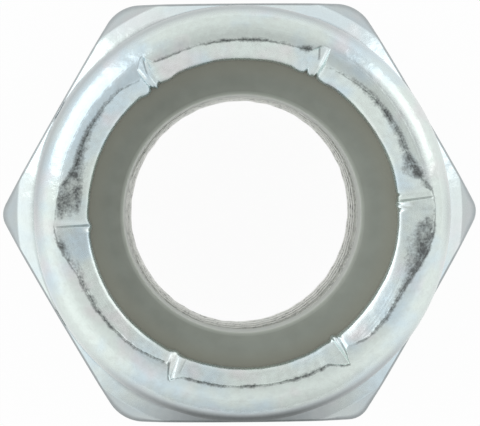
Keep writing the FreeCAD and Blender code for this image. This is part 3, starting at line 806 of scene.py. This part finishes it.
class LOCKNUT_OT_make_body(bpy.types.Operator):
    """Make the steel body: hexagon, shoulder, crimped collar with its six marks, ring pocket and thread"""

    bl_idname = "lock_nut.make_body"
    bl_label = "Make Steel Body"

    def execute(self, context):
        s, thread, seat = context.scene.lock_nut_body, context.scene.lock_nut_thread, RING_LOW.z
        focuses = [(math.radians(mark[0]), math.radians(3.4)) for mark in MARKS]
        turns = spread(0.0, 2 * math.pi, COLUMNS, focuses)[:-1]
        height, reach, per_pitch = thread_grid(turns, thread, seat)
        reach = countersunk(height, reach, thread, seat)
        drilled = countersunk(seat, np.full_like(turns, thread.tapping_reach), thread, seat)
        cut = np.array([np.interp(seat, height[:, j], reach[:, j]) for j in range(COLUMNS)])
        table = body_table(s, thread, turns)
        table.append((row_maker(turns)(np.maximum(drilled, cut), seat), 1.0, FAR, 0.5, 0.0, 0.0))
        rows, *traits = zip(*table)
        drift, crease, dull_and_shade, glint_and_groove_shade, drawn = (
            np.concatenate([value + 0 * turns for value in trait]) for trait in traits)

        first = len(rows) * COLUMNS
        index, free = thread_index(height, per_pitch, seat, first - COLUMNS)
        angles = np.broadcast_to(np.append(turns, 0.0), height.shape)[free]
        points = np.concatenate((
            placed(*np.concatenate(rows, axis=1), np.tile(turns, len(rows)), drift * s.drift),
            placed(reach[free], height[free], angles, s.drift)))
        plain = np.zeros(free.sum())
        crease = np.append(crease, plain + FAR)
        rubbed_and_shade = crease_darkening(points, s.drift, crease)
        rubbed_and_shade[first:] = THREAD_WEAR
        mesh = make_mesh("nut_shell", points, grid_faces(len(rows), COLUMNS, False) + welded_faces(index), {
            "rubbed_and_shade": rubbed_and_shade, "land": ramp(crease, 0, -0.05 * MM), "dull_and_shade": np.append(dull_and_shade, plain),
            "glint_and_groove_shade": np.append(glint_and_groove_shade, plain), "thready": np.append(np.zeros(first), plain + 1),
            "drawn": np.append(drawn, plain)})
        add_piece("nut_shell", mesh, zinc_plate(context.scene.lock_nut_finish), "nut_body")
        return {"FINISHED"}


class LOCKNUT_OT_make_ring(bpy.types.Operator):
    """Make the nylon ring that lies under the crimped lip"""

    bl_idname = "lock_nut.make_ring"
    bl_label = "Make Nylon Ring"

    def execute(self, context):
        s, body = context.scene.lock_nut_ring, context.scene.lock_nut_body
        turns = np.linspace(0, 2 * math.pi, RING_COLUMNS, endpoint=False)
        row = row_maker(turns)
        bend_top = RING_HIGH.z
        rows = [
            row(s.bore_reach + s.lead, s.seat),
            row(s.outer_reach - 0.05 * MM, s.seat),
            row(s.outer_reach, s.seat + 0.05 * MM),
            row(s.outer_reach, bend_top - s.bevel),
            row(s.outer_reach - s.bevel, bend_top),
            row(body.opening_reach + 0.1 * MM, s.top + 0.02 * MM),
        ]
        inner = s.bore_reach + s.bore_round
        rows += even(row(body.opening_reach - 0.05 * MM, s.top), row(inner + 0.05 * MM, s.top), FIFTHS)
        rows += rounded(row(inner, s.top), row(s.bore_reach, s.top),
                        row(s.bore_reach, s.top - s.bore_round), (0, 0.17, 0.33, 0.5, 0.67, 0.83, 1))
        rows += even(rows[-1], row(s.bore_reach, s.seat + s.lead), FIFTHS[1:])
        reach, height = np.concatenate(rows, axis=1)
        points = placed(reach, height, np.tile(turns, len(rows)), body.drift)

        # The wall of the bore gets a painted glow, a paler tint that stands in for light shining through the
        # nylon, less further down; under the lip, where it is shaded, the nylon gets a warmer painted tint,
        # which counts below zero.
        wall = ramp(reach, s.bore_reach + 0.11 * MM, s.bore_reach)
        wall *= np.clip(1 - (s.top - s.bore_round - height) / (2.2 * MM), 0.75, 1)
        under_lip = ramp(reach, body.opening_reach - 0.6 * MM, body.opening_reach - 0.05 * MM)
        mesh = make_mesh("nylon_ring", points, grid_faces(len(rows), RING_COLUMNS, True), {
            "glow_and_lip_shade": wall - under_lip})
        add_piece("nylon_ring", mesh, moulded_nylon(context.scene.lock_nut_finish), "locking_ring")
        return {"FINISHED"}


class LOCKNUT_OT_set_stage(bpy.types.Operator):
    """Set the floor, the camera, the studio light round the nut and the view settings"""

    bl_idname = "lock_nut.set_stage"
    bl_label = "Set the Stage"

    def execute(self, context):
        scene, s = context.scene, context.scene.lock_nut_stage
        scene.view_settings.view_transform = "Standard"

        reach = s.floor_reach
        mesh = bpy.data.meshes.new("floor")
        mesh.from_pydata([(-reach, -reach, 0), (reach, -reach, 0), (reach, reach, 0), (-reach, reach, 0)],
                         [], [(0, 1, 2, 3)])
        floor = bpy.data.objects.new("floor", mesh)
        floor.location.z = -0.01 * MM
        scene.collection.objects.link(floor)
        material, tree = new_material("pale_floor")
        mesh.materials.append(material)
        path = add_node(tree, "ShaderNodeLightPath").outputs
        seen = add_node(tree, "ShaderNodeMath", {
            0: path["Is Camera Ray"], 1: path["Is Glossy Ray"]}, operation="MAXIMUM")
        seen = add_node(tree, "ShaderNodeMath", {
            0: seen, 1: path["Is Transmission Ray"]}, operation="MAXIMUM")
        evenly_white = 0.95
        share = add_node(tree, "ShaderNodeMath", {0: seen, 1: evenly_white}, operation="MULTIPLY")
        lit = add_node(tree, "ShaderNodeBsdfDiffuse", {"Color": tuple(s.floor)})
        white = add_node(tree, "ShaderNodeEmission", {"Color": tuple(s.floor), "Strength": 1.0})
        mixed = add_node(tree, "ShaderNodeMixShader", {0: share, 1: lit, 2: white})
        add_node(tree, "ShaderNodeOutputMaterial", {"Surface": mixed})

        # A pale studio: brighter near the horizon than overhead, a little brighter to the left, dimmer
        # low in front, and with a dim patch overhead.
        world = bpy.data.worlds.new("studio")
        scene.world = world
        world.use_nodes = True
        tree = world.node_tree
        tree.nodes.clear()
        towards = add_node(tree, "ShaderNodeTexCoord").outputs["Generated"]
        split = add_node(tree, "ShaderNodeSeparateXYZ", {0: towards}).outputs
        lean = add_node(tree, "ShaderNodeVectorMath", {
            0: towards, 1: (-0.07, -0.12, 0.0)}, operation="DOT_PRODUCT")
        overhead = add_node(tree, "ShaderNodeVectorMath", {
            0: towards, 1: (0.13, 0.22, 0.967)}, operation="DOT_PRODUCT")
        level, front, shade = (
            add_node(tree, "ShaderNodeMapRange", {
                "Value": value, "From Min": start, "From Max": end, "To Min": before, "To Max": after},
                interpolation_type="SMOOTHSTEP")
            for value, start, end, before, after in (
                (split["Z"], 0.30, 0.98, 0.96, 0.74), (split["Y"], -1.0, -0.55, 0.62, 1.0),
                (overhead, 0.90, 0.99, 1.0, 0.86)))
        level = add_node(tree, "ShaderNodeMath", {0: level, 1: lean})
        for factor in (front, shade):
            level = add_node(tree, "ShaderNodeMath", {0: level, 1: factor}, operation="MULTIPLY")
        sky = add_node(tree, "ShaderNodeBackground", {"Color": (1.0, 1.0, 1.0, 1.0), "Strength": level})
        add_node(tree, "ShaderNodeOutputWorld", {"Surface": sky})

        # Soft boxes: degrees round and up, degrees they span in width and height, and radiance.
        far = 0.30
        for name, around, up, wide, high, radiance in (("soft_box_left", 148, 27, 36, 52, 0.60),
                                                       ("soft_box_right", 31, 18, 36, 46, 0.50)):
            wide, high = (2 * far * math.tan(math.radians(spanned) / 2) for spanned in (wide, high))
            lamp = bpy.data.lights.new(name, "AREA")
            lamp.shape, lamp.size, lamp.size_y = "RECTANGLE", wide, high
            lamp.energy = radiance * math.pi * wide * high
            box = bpy.data.objects.new(name, lamp)
            scene.collection.objects.link(box)
            turn, rise = math.radians(around), math.radians(up)
            box.location = far * Vector((math.cos(turn) * math.cos(rise), math.sin(turn) * math.cos(rise),
                                         math.sin(rise)))
            box.rotation_euler = (-box.location).to_track_quat("-Z", "Y").to_euler()

        camera = bpy.data.cameras.new("camera")
        camera.lens, camera.sensor_width = s.focal, 36.0
        camera.clip_start, camera.clip_end = 0.005, 10.0
        eye = bpy.data.objects.new("camera", camera)
        scene.collection.objects.link(eye)
        aim = Vector((0.0, 0.0, 7.9 * MM))
        look = (Vector(s.eye) - aim).normalized()
        right = Vector((0, 1, 0)).cross(look).normalized()
        turn = Matrix((right, look.cross(right), look)).transposed() @ Matrix.Rotation(s.roll, 3, "Z")
        eye.matrix_world = Matrix.Translation(Vector(s.eye)) @ turn.to_4x4()
        scene.camera = eye
        return {"FINISHED"}


STEPS = ("make_body", "make_ring", "set_stage")
GROUPS = {
    "lock_nut_body": (LOCKNUT_PG_body, "Body"),
    "lock_nut_thread": (LOCKNUT_PG_thread, "Thread"),
    "lock_nut_ring": (LOCKNUT_PG_ring, "Ring"),
    "lock_nut_finish": (LOCKNUT_PG_finish, "Finish"),
    "lock_nut_stage": (LOCKNUT_PG_stage, "Stage"),
}


class LOCKNUT_PT_panel(bpy.types.Panel):
    """Sizes, colours and steps of the lock nut"""

    bl_idname = "LOCKNUT_PT_panel"
    bl_label = "Lock Nut"
    bl_space_type = "VIEW_3D"
    bl_region_type = "UI"
    bl_category = "Lock Nut"

    def draw(self, context):
        for name, (group, title) in GROUPS.items():
            box = self.layout.box()
            box.label(text=title)
            for key in group.__annotations__:
                box.prop(getattr(context.scene, name), key)
        for step in STEPS:
            self.layout.operator(f"lock_nut.{step}")


CLASSES = [group for group, title in GROUPS.values()] + [
    LOCKNUT_OT_make_body, LOCKNUT_OT_make_ring, LOCKNUT_OT_set_stage, LOCKNUT_PT_panel]


def register():
    for each in CLASSES:
        bpy.utils.register_class(each)
    for name, (group, title) in GROUPS.items():
        setattr(bpy.types.Scene, name, bpy.props.PointerProperty(type=group, name=title))


def unregister():
    for name in GROUPS:
        delattr(bpy.types.Scene, name)
    for each in reversed(CLASSES):
        bpy.utils.unregister_class(each)


def main():
    register()
    for step in STEPS:
        getattr(bpy.ops.lock_nut, step)()


if __name__ == "__main__":
    main()
